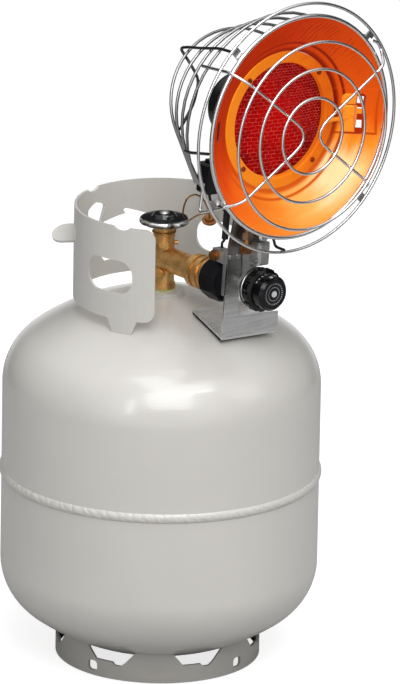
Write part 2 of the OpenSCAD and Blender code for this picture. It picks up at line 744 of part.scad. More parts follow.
tube_x = 3;
tube_f = 116.3;
elbow_up = 36.5;
elbow_d = 9;
drum_low = head_up - drum_d / 2;
module gas_tube() color(steel) heater() translate([tube_x, block_top + 14, tube_f])
    rotate([-90, 0, 0]) difference() {
        cylinder(d = 9, h = drum_low - block_top - 14 + 0.6);
        translate([0, 0, -1]) cylinder(d = 6, h = drum_low);
        // saddle under the drum
        translate([-tube_x, -(drum_front_f - tube_f), head_up - block_top - 14])
            rotate([90, 0, 0]) translate([0, 0, -100]) cylinder(d = drum_d + 0.1, h = 200);
    }
drum_front_f = tube_f;

module gas_jet() color([0.70, 0.42, 0.24]) heater() translate([tube_x, block_top + 2, tube_f])
    rotate([-90, 0, 0]) {
        cylinder(d = 11, h = 7, $fn = 6);
        translate([0, 0, 7]) cylinder(d = 7.5, h = 5);
    }

drum_front = 40;
module mixing_drum() color(black) dish() rotate([180, 0, 0]) {
    round_r = 9;
    rotate_extrude($fn = 96) {
        translate([0, drum_front]) square([drum_d / 2, drum_back - drum_front - round_r]);
        translate([0, drum_front]) square([drum_d / 2 - round_r, drum_back - drum_front]);
        translate([drum_d / 2 - round_r, drum_back - round_r]) circle(r = round_r, $fn = 48);
    }
}

clamp_w = 12;
module drum_clamp() color(steel) heater() difference() {
    union() {
        translate([0, head_up, strip_f + lean + sheet_t]) rotate([180, 0, 0])
            tube(drum_d / 2 + 1.8, drum_d / 2, clamp_w);
        translate([-7, strip_top - 16, strip_f + lean - 2])
            cube([14, drum_low - strip_top + 16.5, 2]);
    }
    translate([0, head_up, 0]) cylinder(d = drum_d, h = 200);
}

pan_front = 34;
pan_r = emitter_d / 2 + 1;
module burner_pan() color([0.30, 0.29, 0.28]) dish() rotate([180, 0, 0]) rotate_extrude($fn = 96)
    polygon([[drum_d / 2, drum_front], [pan_r, drum_front], [pan_r, pan_front],
             [pan_r + 6, pan_front], [pan_r + 6, pan_front + 1.2],
             [pan_r + 1.2, pan_front + 1.2], [pan_r + 1.2, drum_front + 1.2],
             [drum_d / 2, drum_front + 1.2]]);

screen_rise = 4;
module domed_disc(d, rise, t) {
    r = (d * d / 4 + rise * rise) / (2 * rise);
    intersection() {
        difference() {
            translate([0, 0, rise - r]) sphere(r = r, $fn = 180);
            translate([0, 0, rise - r - t]) sphere(r = r, $fn = 180);
        }
        translate([0, 0, -2 * t]) cylinder(d = d, h = rise + 4 * t);
    }
}
module emitter_screen() color([0.75, 0.05, 0.05]) dish()
    translate([0, 0, -pan_front - 1]) domed_disc(2 * (pan_r - touch_gap), screen_rise, 1.2);
module inner_screen() color([0.60, 0.05, 0.05]) dish()
    translate([0, 0, -drum_front]) cylinder(r = pan_r - touch_gap, h = 1.6);

bezel_front = 27.5;
tab_r = 61;
module burner_bezel() color([0.95, 0.55, 0.15]) dish() rotate([180, 0, 0]) difference() {
    union() {
        rotate_extrude($fn = 96) polygon([
            [emitter_d / 2 - 0.5, bezel_front + 1], [emitter_d / 2 + 1, bezel_front],
            [bezel_d / 2 - 1, bezel_front], [bezel_d / 2, bezel_front + 1],
            [bezel_d / 2, bezel_front + 2.4], [bezel_d / 2 - 1.2, bezel_front + 2.4],
            [bezel_d / 2 - 1.2, bezel_front + 1.2], [emitter_d / 2 + 1, bezel_front + 1.2],
            [emitter_d / 2 + 0.9, pan_front - 0.3], [emitter_d / 2 - 0.5, pan_front - 0.3]]);
        for (k = [0 : 3]) rotate([0, 0, 45 + 90 * k]) translate([tab_r, 0, bezel_front - 0.8])
            cylinder(r = 4.3, h = 1.6);
    }
    for (k = [0 : 3]) rotate([0, 0, 45 + 90 * k]) translate([tab_r, 0, bezel_front - 2])
        cylinder(r = 1.6, h = 8);
}

module bezel_screws() color([0.55, 0.25, 0.10]) dish()
    for (k = [0 : 3]) rotate([0, 0, 45 + 90 * k]) translate([tab_r, 0, -bezel_front + 0.8]) {
        cylinder(r1 = 2.7, r2 = 2.2, h = 1.4);
        translate([0, 0, bezel_front - pan_front - 0.7]) cylinder(r = 1.5, h = pan_front - bezel_front + 0.8);
    }

// inner face of the dish: depth behind the rim at a radius
dish_r = dish_d / 2;
dish_in = bezel_d / 2 + 0.2;
dish_out = dish_r - 1.7;
function dish_z(r) = dish_depth * (1 - pow(r / (dish_r + 0.5), 2));
module reflector() color([0.95, 0.50, 0.12]) dish() rotate([180, 0, 0]) difference() {
    rotate_extrude($fn = 96) polygon(concat(
        [for (k = [0 : 10]) let (r = dish_in + (dish_out - dish_in) * k / 10) [r, dish_z(r)]],
        [for (k = [10 : -1 : 0]) let (r = dish_in + (dish_out - dish_in) * k / 10)
            [r, dish_z(r) + dish_t + 0.3]]));
    // window of the thermocouple and the slot on the far side
    translate([83, 0, -20]) round_box(20, 40, 4, 60);
    translate([-85, 0, -20]) round_box(7, 20, 3.4, 60);
}

rim_r = dish_r - 0.4;
module dish_rim() color(steel) dish() rotate_extrude($fn = 96)
    translate([rim_r, 0]) difference() {
        circle(r = 2.1, $fn = 24);
        circle(r = 1.2, $fn = 24);
    }

// probe on its bracket, which is screwed to the back of the dish beside the window
module thermocouple() color([0.90, 0.52, 0.18]) dish() {
    back = dish_z(96) + dish_t + 0.3 + 0.4;
    translate([74, -11, -24]) cube([12, 15, 1.5]);
    translate([84.5, -11, -24]) cube([1.5, 19, 8]);
    translate([54, -4.5, -22]) rotate([0, 90, 0]) cylinder(d = 4, h = 30);
    translate([84.5, -6, -back - 1.5 - 6.5]) cube([1.5, 10, back - 16]);
    translate([85.5, -6, -23.5]) rotate([0, -36, 0]) cube([13, 10, 1.5]);
}

lead_path = [[80, 169.7, 158.5], [80.5, 169, 150], [82, 156, 142], [52, 112, 118], [34, 72, 103],
             [22, 56, 96], [block_x + block_w / 2, block_top + 5.5, 98],
             [block_x + block_w / 2, block_top + 5.5, 104.8]];
module thermocouple_lead() color([0.70, 0.42, 0.24]) heater() swept(rounded(lead_path, 9, 3), 1.1, 8);

switch_f = strip_f - 9;
module tilt_switch() color(black) heater() {
    translate([-46, 94, switch_f]) {
        hull() {
            translate([2, 0, 0]) cube([16, 30, strip_f + lean - switch_f]);
            translate([0, 2, 0]) cube([20, 26, strip_f + lean - switch_f]);
        }
        translate([5, 30, 4]) cube([10, 3, 8]);
    }
}

switch_path = [[-34, 93.6, 99], [-32, 84, 99], [-20, 78, 101], [-14, 72, 104], [-14, 45, 104],
               [-11.5, 40, 97], [-8, 34.4, 94]];
module switch_lead() color(black) heater() {
    swept(rounded(switch_path, 6, 3), 1.3, 8);
    translate([-14, 46, 104]) rotate([-90, 0, 0]) cylinder(d = 6.5, h = 26);
}

// ---------- guard ----------

guard_drop = 4;
ring_drop = 1.9;
module guard_ring_outer() color(steel) dish() translate([0, -ring_drop, -outer_ring_back])
    wire_ring(outer_ring_d / 2);
module front_ring(d) color(steel) dish() translate([0, -guard_drop, guard_stand]) wire_ring(d / 2);
module guard_ring_large() front_ring(large_ring_d);
module guard_ring_middle() front_ring(middle_ring_d);
module guard_ring_small() front_ring(small_ring_d);

// point of a hairpin's leg: side -1 left or 1 right, way -1 below or 1 above
hair_x = 1.6;
hair_drop = 4.7;
hair_z = guard_stand - wire_d;          // the front rings lie on the hairpins
function leg(side, way, r, z) = [hair_x + side * r * cos(hairpin_angle),
                                 -hair_drop + way * r * sin(hairpin_angle), z];
// distance along a leg to the middle of the dish's rolled rim
function rim_at(side, way) =
    let (k = hair_x * side * cos(hairpin_angle) - hair_drop * way * sin(hairpin_angle))
    sqrt(k * k - hair_x * hair_x - hair_drop * hair_drop + pow(rim_r, 2)) - k;
// a leg runs flat before the dish and bends back over its rim
function over_rim(side, way) = [leg(side, way, rim_at(side, way) - 9.5, hair_z),
                                leg(side, way, rim_at(side, way) + 4.5, 1.5)];
hair_corner = [hair_x, -hair_drop, hair_z];
// end of a lower leg: back under the cage, then up before the ends of the rear arcs
function leg_end(side) = [[side * (arc_span + 4), -rear_drop - 26, -arc_back(0) + wire_d + 0.7],
                          [side * (arc_span + 1.5), -rear_drop + 3, -arc_back(0) + wire_d + 0.4]];

module hairpin_left() color(steel) dish() swept(rounded([
    on_arc(0, -1, 31.5, wire_d + 0.05) - [0, 0, 4], leg(-1, 1, rim_at(-1, 1) + 4.5, 1.5),
    over_rim(-1, 1)[0], hair_corner, over_rim(-1, -1)[0], over_rim(-1, -1)[1],
    leg_end(-1)[0], leg_end(-1)[1]], [0, 5, 9, 25, 9, 5, 6, 0], 5), wire_r, 12);

// the right one hooks into the upper clip
module hairpin_right() color(steel) dish() swept(rounded([
    [rim_r * 0.78, rim_r * 0.705, clip_front + wire_r + 0.1], [rim_r * 0.857, rim_r * 0.672, -0.6],
    [rim_r * 0.893, rim_r * 0.605, 0], leg(1, 1, rim_at(1, 1) - 5.5, hair_z), hair_corner,
    over_rim(1, -1)[0], over_rim(1, -1)[1], leg_end(1)[0], leg_end(1)[1]],
    [0, 4, 5, 7, 25, 9, 5, 6, 0], 5), wire_r, 12);

// four hoops behind the dish, their ends bundled in one row on either side:
// tilt back from upright, and half width and half height as shares of the widest one's
arc_shape = [[-5.9, 1, 1], [-0.1, 0.988, 0.891], [7.9, 0.955, 0.793], [19.3, 0.870, 0.746]];
arc_centre = 0.698 * rear_arc_r;        // above the ends
arc_span = 0.700 * rear_arc_r;
arc_pitch = wire_d / cos(arc_shape[3][0]) + 0.08;
arc_first = 54.7;
function arc_back(k) = arc_first + arc_pitch * k;
// place on hoop k: x, and height above the ends along the hoop's own plane
function in_dish(k, x, y) = [x, -rear_drop + y * cos(arc_shape[k][0]),
                             -arc_back(k) - y * sin(arc_shape[k][0])];
// point on hoop k at an angle from level, lifted off the wire
function on_arc(k, side, a, lift) =
    in_dish(k, side * (rear_arc_r * arc_shape[k][1] + lift) * cos(a),
            arc_centre + (rear_arc_r * arc_shape[k][2] + lift) * sin(a));
// angle at which a hoop's straight leg leaves the ellipse
function arc_leave(k) =
    let (w = rear_arc_r * arc_shape[k][1], y = -arc_centre * w / (rear_arc_r * arc_shape[k][2]))
    atan2(y, arc_span) + acos(min(1, w / norm([arc_span, y])));
arc_steps_round = 30;
module rear_arc(k) color(steel) dish() swept(concat([in_dish(k, arc_span, 0)],
    [for (i = [0 : arc_steps_round])
        let (a = arc_leave(k) + (180 - 2 * arc_leave(k)) * i / arc_steps_round) on_arc(k, 1, a, 0)],
    [in_dish(k, -arc_span, 0)]), wire_r, 12);
module rear_arc_1() rear_arc(0);
module rear_arc_2() rear_arc(1);
module rear_arc_3() rear_arc(2);
module rear_arc_4() rear_arc(3);

// black wire from a rim clip over the hoops and back inside them, and a short one lower down
strut_lift = wire_d + 0.05;
module rear_strut(side) color(black) dish() {
    start = [side * 0.752 * rim_r, 0.731 * rim_r, clip_back - wire_r - 0.1];
    swept(rounded([start, start + [side * 0.4, -0.2, -9], on_arc(0, side, 44, strut_lift),
        on_arc(1, side, 46, strut_lift), on_arc(2, side, 49, strut_lift),
        on_arc(3, side, 52.5, strut_lift), [side * 57, 56.5, -115], [side * 54, 43, -101],
        [side * 48, 29, -94], [side * 56, 7.7, -90], [side * 74, -7.5, -82],
        on_arc(2, side, -10.5, -strut_lift)], 8, 3), wire_r, 8);
    swept(rounded([[side * rim_r * 0.997, -0.145 * rim_r, -2.1 - wire_r - 0.1],
        [side * 0.94 * rim_r, -0.215 * rim_r, -38], on_arc(0, side, -17.5, strut_lift)], 5, 3),
        wire_r, 8);
}
module rear_strut_right() rear_strut(1);
module rear_strut_left() rear_strut(-1);

// black wire that stays the outer ring from the side of the valve block
strut_x = -7;
strut_up = head_up - ring_drop - sqrt(pow(outer_ring_d / 2, 2) - strut_x * strut_x) + wire_d;
strut_foot = block_x + block_w + wire_r + 0.1;
module lower_strut() color(black) heater() swept(rounded([
    [strut_foot, block_low + 10, 112], [strut_foot, block_top + 6, 114],
    [strut_foot - 5, block_top + 13, 132], [9, block_top + 11, 147], [strut_x, strut_up, 170],
    [strut_x, strut_up, rim_forward - outer_ring_back + 3]], 7, 4), wire_r, 8);

// clips between the rolled rim and the outer ring
clip_angles = [44, 135.8, -42, -146];
clip_front = -2.4;
clip_back = -4.4;
module rim_clips() color(steel) dish() for (a = clip_angles) rotate([0, 0, a]) {
    reach = outer_ring_d / 2 - ring_drop * sin(a) - wire_r - 0.25;
    translate([rim_r - 0.3, -4, clip_back]) cube([reach - rim_r + 0.3, 8, clip_front - clip_back]);
}

foot_ring();
lower_shell();
upper_shell();
girth_weld();
valve_boss();
collar();
valve_body();
thread_sealant();
valve_bonnet();
valve_spindle();
seat_disc();
handwheel();
handwheel_screw();
bleeder_screw();
relief_cap();
lanyard();
outlet_plug();
coupling_nut();
inlet_nipple();
regulator_body();
regulator_cover();
push_rod();
magnet_unit();
gas_fittings();
dial_bezel();
control_shaft();
control_knob();
knob_cap();
bracket();
foot_pad();
regulator_screws();
gas_tube();
gas_jet();
mixing_drum();
drum_clamp();
burner_pan();
inner_screen();
emitter_screen();
burner_bezel();
bezel_screws();
reflector();
dish_rim();
thermocouple();
thermocouple_lead();
tilt_switch();
switch_lead();
guard_ring_outer();
guard_ring_large();
guard_ring_middle();
guard_ring_small();
hairpin_left();
hairpin_right();
rear_arc_1();
rear_arc_2();
rear_arc_3();
rear_arc_4();
rear_strut_left();
rear_strut_right();
lower_strut();
rim_clips();
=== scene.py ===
import math

import bpy
import numpy as np
from mathutils import Matrix, Vector


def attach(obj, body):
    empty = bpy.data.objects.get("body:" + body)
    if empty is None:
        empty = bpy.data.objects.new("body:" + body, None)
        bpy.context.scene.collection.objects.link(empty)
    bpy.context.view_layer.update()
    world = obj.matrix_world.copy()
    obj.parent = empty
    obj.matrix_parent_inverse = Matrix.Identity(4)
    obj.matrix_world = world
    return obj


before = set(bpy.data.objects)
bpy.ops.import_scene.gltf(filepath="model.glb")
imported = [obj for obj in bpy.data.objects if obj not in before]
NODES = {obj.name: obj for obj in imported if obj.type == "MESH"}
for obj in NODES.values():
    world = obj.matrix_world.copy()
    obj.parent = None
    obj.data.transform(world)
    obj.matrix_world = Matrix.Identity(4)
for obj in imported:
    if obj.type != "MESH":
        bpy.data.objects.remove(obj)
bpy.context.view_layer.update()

scene = bpy.context.scene

# ---------------------------------------------------------------- node trees


class Graph:
    """A node tree that is built by calls. A value given to a call may also be a socket."""

    def __init__(self, tree):
        self.tree = tree
        tree.nodes.clear()

    def link(self, a, b):
        self.tree.links.new(a, b)

    def put(self, value, socket):
        if isinstance(value, bpy.types.NodeSocket):
            self.link(value, socket)
        else:
            socket.default_value = value

    def add(self, kind, **values):
        """New node. Each value goes to the input of its name, where __ stands for a space."""
        n = self.tree.nodes.new(kind)
        for k, v in values.items():
            self.put(v, n.inputs[k.replace("__", " ")])
        return n

    def math(self, op, a, b=0.0):
        n = self.add("ShaderNodeMath")
        n.operation = op
        self.put(a, n.inputs[0])
        self.put(b, n.inputs[1])
        return n.outputs[0]

    def mix(self, fac, a, b, blend="MIX"):
        """Mix of the colours a and b."""
        n = self.add("ShaderNodeMix")
        n.data_type = "RGBA"
        n.blend_type = blend
        self.put(fac, n.inputs[0])
        for i, v in ((6, a), (7, b)):
            self.put((*v, 1) if isinstance(v, tuple) else v, n.inputs[i])
        return n.outputs[2]

    def ramp(self, fac, stops):
        """Colour read from stops, a list of positions in rising order with their colours."""
        n = self.add("ShaderNodeValToRGB")
        self.put(fac, n.inputs[0])
        e = n.color_ramp.elements
        e[0].position, e[0].color = stops[0][0], (*stops[0][1], 1)
        e[1].position, e[1].color = stops[-1][0], (*stops[-1][1], 1)
        for place, tone in stops[1:-1]:
            e.new(place).color = (*tone, 1)
        return n.outputs[0]

    def scale(self, fac, a, b, c, d):
        """fac carried from the range a to b over to the range c to d, and held inside it."""
        n = self.add("ShaderNodeMapRange")
        for i, v in enumerate((fac, a, b, c, d)):
            self.put(v, n.inputs[i])
        return n.outputs[0]

    def band(self, value, a, b, c, d):
        """1 between b and c, falling to 0 at a and d."""
        return self.math("MULTIPLY", self.scale(value, a, b, 0, 1),
                         self.scale(value, c, d, 1, 0))

    def vector(self, op, vector, by, into=1):
        n = self.add("ShaderNodeVectorMath")
        n.operation = op
        self.put(vector, n.inputs[0])
        self.put(by, n.inputs[into])
        return n

    def dim(self, amount, tone):
        """tone darkened to amount."""
        return self.vector("SCALE", tone, amount, "Scale").outputs[0]

    def dot(self, vector, way):
        return self.vector("DOT_PRODUCT", vector, way).outputs["Value"]

    def stretched(self, vector, by):
        return self.vector("MULTIPLY", vector, by).outputs[0]

    def split(self, vector):
        return self.add("ShaderNodeSeparateXYZ", Vector=vector).outputs

    def noise(self, vector, size, detail=3.0, rough=0.5):
        """Noise whose lumps are about size metres across."""
        return self.add("ShaderNodeTexNoise", Vector=vector, Scale=1 / size, Detail=detail,
                        Roughness=rough).outputs[0]

    def patches(self, vector, size, detail, lo, hi):
        """Noise with its middle part carried over to the range lo to hi."""
        return self.scale(self.noise(vector, size, detail), 0.3, 0.7, lo, hi)


def grey(v):
    return v, v, v


def lin(r, g, b):
    """Shader colour of a screen colour given as 0 to 255."""
    def one(v):
        v /= 255
        return v / 12.92 if v <= 0.04045 else ((v + 0.055) / 1.055) ** 2.4
    return one(r), one(g), one(b)


# ---------------------------------------------------------------- camera and studio

PHOTO_HEIGHT = 684                          # pixels, the photograph's longer side
FOCAL_LENGTH = 9000                         # pixels, fitted to the photograph
SENSOR = 36                                 # mm
CAMERA_PLACE = (-5.3053, -6.3868, 3.0334)
CAMERA_RIGHT = Vector((0.76991, -0.63792, 0.01725)).normalized()
CAMERA_UP = Vector((0.18581, 0.24995, 0.95026)).normalized()

PHOTOGRAPHER = (-0.604, -0.728, 0.324)      # direction of the side the photograph is from
ROOM_TONES = [                              # from behind the object, 0, to that side, 1
    (0.0, grey(1)), (0.03, grey(0.8)), (0.08, grey(0.04)), (0.60, grey(0.06)),
    (0.80, grey(0.24)), (0.90, grey(0.9)), (0.96, grey(1)), (1.0, grey(0.45))]
AMBIENT = 0.42                              # light from all round on matt surfaces
FLOOR_R = 1.5
FLOOR_SIDES = 72
FLOOR_DROP = 0.0006                         # below the foot ring, so that they don't coincide
FLOOR_TONE = 0.45
FLOOR_GLOW = 0.78                           # only the camera sees it; it lights nothing

LAMPS = [  # name, place, the point it is aimed at, size, watts
    ("key", (-1.5, -2.3, 2.5), (0, 0, 0.38), (1.9, 1.9), 50),
    ("side", (1.4, -2.3, 1.9), (0, 0, 0.35), (1.2, 1.4), 7),
    ("top", (-0.3, -0.9, 2.9), (0, 0, 0.3), (1.8, 1.8), 36),
    ("strip_left", (-2.3, -1.2, 1.5), (0, 0, 0.4), (0.12, 1.3), 5),
    ("strip_high", (-0.2, -2.0, 2.7), (0, 0, 0.4), (1.2, 0.12), 5),
]


def camera():
    data = bpy.data.cameras.new("camera")
    data.sensor_width = SENSOR
    data.lens = FOCAL_LENGTH * SENSOR / PHOTO_HEIGHT
    data.clip_start = 0.1
    data.clip_end = 200
    cam = bpy.data.objects.new("camera", data)
    turned = Matrix((CAMERA_RIGHT, CAMERA_UP, CAMERA_RIGHT.cross(CAMERA_UP))).transposed()
    cam.matrix_world = Matrix.Translation(CAMERA_PLACE) @ turned.to_4x4()
    scene.collection.objects.link(cam)
    scene.camera = cam


def surroundings():
    """White for the camera and dim for matt surfaces. Metal mirrors a bright studio on the
    photographer's side, white above, a dark band beside the object and the white backdrop
    straight behind it."""
    world = bpy.data.worlds.new("studio")
    scene.world = world
    world.use_nodes = True
    g = Graph(world.node_tree)
    ray = g.add("ShaderNodeLightPath").outputs
    way = g.add("ShaderNodeTexCoord").outputs["Generated"]
    mirrored = g.ramp(g.scale(g.dot(way, PHOTOGRAPHER), -1, 1, 0, 1), ROOM_TONES)
    above = g.scale(g.dot(way, (0, 0, 1)), 0.45, 0.80, 0, 0.85)
    mirrored = g.mix(above, mirrored, grey(1))
    tone = g.mix(ray["Is Glossy Ray"], grey(AMBIENT), mirrored)
    seen = g.math("MAXIMUM", ray["Is Camera Ray"], ray["Is Transmission Ray"])
    light = g.add("ShaderNodeBackground", Color=g.mix(seen, tone, grey(1)), Strength=1.0)
    out = g.add("ShaderNodeOutputWorld")
    g.link(light.outputs[0], out.inputs[0])


def plain_floor():
    """Pale floor that shows soft shadows."""
    mesh = bpy.data.meshes.new("floor")
    turns = [math.radians(360 / FLOOR_SIDES * k) for k in range(FLOOR_SIDES)]
    mesh.from_pydata([(FLOOR_R * math.cos(t), FLOOR_R * math.sin(t), 0) for t in turns], [],
                     [tuple(range(FLOOR_SIDES))])
    floor = bpy.data.objects.new("floor", mesh)
    floor.location = (0, 0, -FLOOR_DROP)
    scene.collection.objects.link(floor)
    m = bpy.data.materials.new("floor")
    m.use_nodes = True
    g = Graph(m.node_tree)
    ray = g.add("ShaderNodeLightPath").outputs
    diffuse = g.add("ShaderNodeBsdfDiffuse", Color=(*grey(FLOOR_TONE), 1))
    shine = g.add("ShaderNodeEmission", Color=(*grey(1), 1),
                  Strength=g.math("MULTIPLY", ray["Is Camera Ray"], FLOOR_GLOW))
    both = g.add("ShaderNodeAddShader")
    g.link(diffuse.outputs[0], both.inputs[0])
    g.link(shine.outputs[0], both.inputs[1])
    out = g.add("ShaderNodeOutputMaterial")
    g.link(both.outputs[0], out.inputs[0])
    mesh.materials.append(m)


def softbox(name, place, aim, size, watts):
    data = bpy.data.lights.new(name, "AREA")
    data.shape = "RECTANGLE"
    data.size, data.size_y = size
    data.energy = watts
    lamp = bpy.data.objects.new(name, data)
    scene.collection.objects.link(lamp)
    lamp.location = place
    lamp.rotation_mode = "QUATERNION"
    lamp.rotation_quaternion = (Vector(aim) - Vector(place)).to_track_quat("-Z", "Y")


scene.view_settings.view_transform = "Standard"
camera()
surroundings()
plain_floor()
for lamp_row in LAMPS:
    softbox(*lamp_row)

# ---------------------------------------------------------------- materials of many nodes

GROUND_TONE = (0.32, 0.29, 0.25)
GROUND_REACH = 0.08                             # m, how high the patchy darkening near the ground reaches
WELD_R = 155                                # mm, the weld's radius
WELD_SLANT = 600                            # mm round the tank for each metre up
FOOT_TOP = (0.375, 0.395)                   # m, where the painted shade on the bracket's upright strip begins
RIM_EDGE = (0.4425, 0.4431)                 # m, where the handwheel's bare edge ends
RIM_HIGHLIGHT = (0.4380, 0.4430)                # m, over which the painted highlight on the bare band brightens
RIM_HIGHLIGHT_TONES = [(0.0, grey(0.10)), (0.42, grey(0.24)), (0.60, grey(0.90)), (1.0, grey(0.95))]


def material(name):
    m = bpy.data.materials.new(name)
    m.use_nodes = True
    g = Graph(m.node_tree)
    out = g.add("ShaderNodeOutputMaterial")
    bsdf = g.add("ShaderNodeBsdfPrincipled")
    g.link(bsdf.outputs[0], out.inputs[0])
    return m, g, bsdf.inputs, g.add("ShaderNodeTexCoord").outputs["Object"]


def bump_from(g, shader, height, strength, distance):
    b = g.add("ShaderNodeBump", Height=height, Strength=strength, Distance=distance)
    g.link(b.outputs[0], shader["Normal"])


def paint(name, base, grain=0.004, bump=0.10, rough=0.32, coat=0.35, ripple=0):
    """Sprayed gloss paint: orange peel, faint mottling and patchy darkening towards the
    ground. With ripple it lies over a weld whose beads are that many mm apart."""
    m, g, shader, co = material(name)
    height = g.noise(co, grain, 2)
    blotch = g.noise(co, 0.12, 4)
    fine = g.noise(co, 0.02, 4)
    x, y, z = g.split(co)
    low = g.scale(z, 0.0, GROUND_REACH, 1.0, 0.0)
    near_ground = g.math("MULTIPLY", g.math("MULTIPLY", low, fine), 0.35)
    tone = g.mix(g.scale(blotch, 0.3, 0.7, 0, 1), base, tuple(c * 0.955 for c in base))
    g.link(g.mix(near_ground, tone, GROUND_TONE), shader["Base Color"])
    g.link(g.scale(fine, 0.2, 0.8, rough - 0.04, rough + 0.04), shader["Roughness"])
    shader["Coat Weight"].default_value = coat
    shader["Coat Roughness"].default_value = 0.14
    if ripple:
        along = g.math("MULTIPLY", g.math("ARCTAN2", y, x), WELD_R)
        along = g.math("ADD", along, g.scale(g.noise(co, 0.009, 3), 0, 1, -9, 9))
        along = g.math("ADD", along, g.math("MULTIPLY", z, WELD_SLANT))
        beads = g.math("ABSOLUTE", g.math("SINE", g.math("MULTIPLY", along, math.pi / ripple)))
        height = g.math("ADD", g.math("MULTIPLY", height, 0.5), beads)
    bump_from(g, shader, height, bump, 0.0006)
    return m


def metal(name, base, rough=0.3, grain=grey(0.0012), wear=0.25, bump=0.08, dark=0.6,
          streaks=0.0, upper=1.0):
    """Bare metal with fine grain, uneven roughness and a little tarnish. The tone is
    multiplied by upper above the height of the bracket's foot, as painted shade."""
    m, g, shader, co = material(name)
    fine = g.noise(g.stretched(co, tuple(0.001 / s for s in grain)), 0.001, 3)
    cloud = g.noise(co, 0.012, 5, 0.6)
    shade = tuple(c * dark for c in base)
    tone = g.mix(g.math("MULTIPLY", g.scale(cloud, 0.45, 0.75, 0, 1), wear), base, shade)
    if streaks:
        tone = g.mix(g.math("MULTIPLY", g.scale(fine, 0.35, 0.65, 0, 1), streaks), tone, shade)
    if upper != 1:
        tone = g.dim(g.scale(g.split(co)[2], *FOOT_TOP, 1.0, upper), tone)
    g.link(tone, shader["Base Color"])
    shader["Metallic"].default_value = 1.0
    g.link(g.patches(co, 0.018, 1, rough - 0.05, rough + 0.08), shader["Roughness"])
    bump_from(g, shader, fine, bump, 0.0002)
    return m


def cast(name, base, rough=0.5, bump=0.35, oxide=0.5):
    """Sand-cast alloy: coarse skin over clouds of darker oxide."""
    m, g, shader, co = material(name)
    skin = g.noise(co, 0.0011, 4, 0.65)
    cloud = g.noise(co, 0.010, 4)
    g.link(g.mix(g.scale(cloud, 0.35, 0.7, 0, oxide), base, tuple(c * 0.45 for c in base)),
           shader["Base Color"])
    shader["Metallic"].default_value = 0.85
    g.link(g.scale(skin, 0.3, 0.7, rough - 0.1, rough + 0.12), shader["Roughness"])
    bump_from(g, shader, skin, bump, 0.0004)
    return m


def plastic(name, base, rough=0.4, grain=0.0007, bump=0.12, level=0.3):
    """Moulded plastic or rubber: fine grain under faint lighter clouds."""
    m, g, shader, co = material(name)
    cloud = g.noise(co, 0.015, 4)
    g.link(g.mix(g.scale(cloud, 0.35, 0.7, 0, 1), base, tuple(c * 1.5 + 0.002 for c in base)),
           shader["Base Color"])
    g.link(g.scale(cloud, 0.3, 0.7, rough - 0.04, rough + 0.08), shader["Roughness"])
    shader["Specular IOR Level"].default_value = level
    bump_from(g, shader, g.noise(co, grain, 2), bump, 0.00015)
    return m


def enamel_with_painted_rim_highlight(name):
    """Black enamel of the handwheel with a bare metal band along the edge of its rim that
    stands in for a highlight, its colour brightening upwards as a painted highlight.
    """
    m, g, shader, co = material(name)
    height = g.math("ADD", g.split(co)[2], g.patches(co, 0.005, 4, -0.0003, 0.0003))
    bare = g.scale(height, *RIM_EDGE, 1, 0)
    # painted highlight: the band's colour brightens towards its top
    rim_highlight = g.ramp(g.scale(height, *RIM_HIGHLIGHT, 0, 1), RIM_HIGHLIGHT_TONES)
    g.link(g.mix(bare, (0.004, 0.005, 0.006), rim_highlight), shader["Base Color"])
    g.link(bare, shader["Metallic"])
    g.link(g.scale(bare, 0, 1, 0.08, 0.24), shader["Roughness"])
    shader["Specular IOR Level"].default_value = 0.7
    bump_from(g, shader, g.noise(co, 0.004, 2), 0.9, 0.00015)
    return m


WHITE = (0.615, 0.598, 0.565)
tank_paint = paint("tank_paint", WHITE, coat=0.7)
# painted shade: the foot ring gets a darker copy of the tank's paint
shaded_foot_paint = paint("shaded_foot_paint", tuple(c * 0.74 for c in WHITE))
weld_paint = paint("weld_paint", WHITE, 0.006, 0.7, 0.34, ripple=9)
black_gloss = paint("black_gloss", (0.006, 0.006, 0.007), 0.003, 0.06, 0.25, 0.1)
brass = cast("brass", lin(239, 187, 116), 0.30, bump=0.62, oxide=0.7)
casting = cast("casting", (0.50, 0.50, 0.49))
bronze = metal("bronze", lin(172, 120, 72), wear=0.8, dark=0.3)
brass_bright = metal("brass_bright", lin(176, 128, 70), wear=0.4)
# painted shade: above its foot the bracket is drawn at half its tone
brushed = metal("brushed", grey(0.84), grain=(0.03, 0.0016, 0.0012), wear=0.0, bump=0.03,
                streaks=0.5, upper=0.5)
chrome = metal("chrome", grey(0.74), 0.20, wear=0.12, bump=0.02)
steel = metal("steel", grey(0.50))
wire_dark = metal("wire_dark", grey(0.34))
clip_steel = metal("clip_steel", (0.62, 0.62, 0.61), 0.28)
copper = metal("copper", (0.30, 0.18, 0.11), 0.38, wear=0.5)
dark_steel = metal("dark_steel", (0.20, 0.18, 0.17), 0.45, wear=0.4)
scorched = metal("scorched", (0.42, 0.09, 0.02), 0.5, wear=0.5)
sealant = plastic("sealant", (0.42, 0.50, 0.24), 0.5)
satin_black = plastic("satin_black", (0.005, 0.005, 0.007), 0.16, level=0.4)
nut_black = plastic("nut_black", (0.003, 0.003, 0.005), 0.36, level=0.12)
rubber = plastic("rubber", grey(0.012), 0.7, 0.0009, 0.3)
wheel_black = enamel_with_painted_rim_highlight("wheel_black")

# ---------------------------------------------------------------- places on the heater

ROLL = math.radians(4)                      # the heater's lean about the outlet's axis
ACROSS = Vector((math.cos(ROLL), 0, -math.sin(ROLL)))
RISE = Vector((math.sin(ROLL), 0, math.cos(ROLL)))
OUTLET_Z = 402.5                            # mm, height of that axis


def heater(x, u, fwd):
    """Point of the frame, in metres, for a place on the leaning heater in mm: across, up and
    forward from where the outlet's axis meets the cylinder's."""
    return (ACROSS * x + RISE * u + Vector((0, -fwd, OUTLET_Z))) / 1000


DISH_UP = 174.2                             # mm, the middle of the dish's rim
DISH_FWD = 183
DISH_CENTRE = heater(0, DISH_UP, DISH_FWD)
KNOB = heater(12, 0, 0)                     # a point on the knob's axis


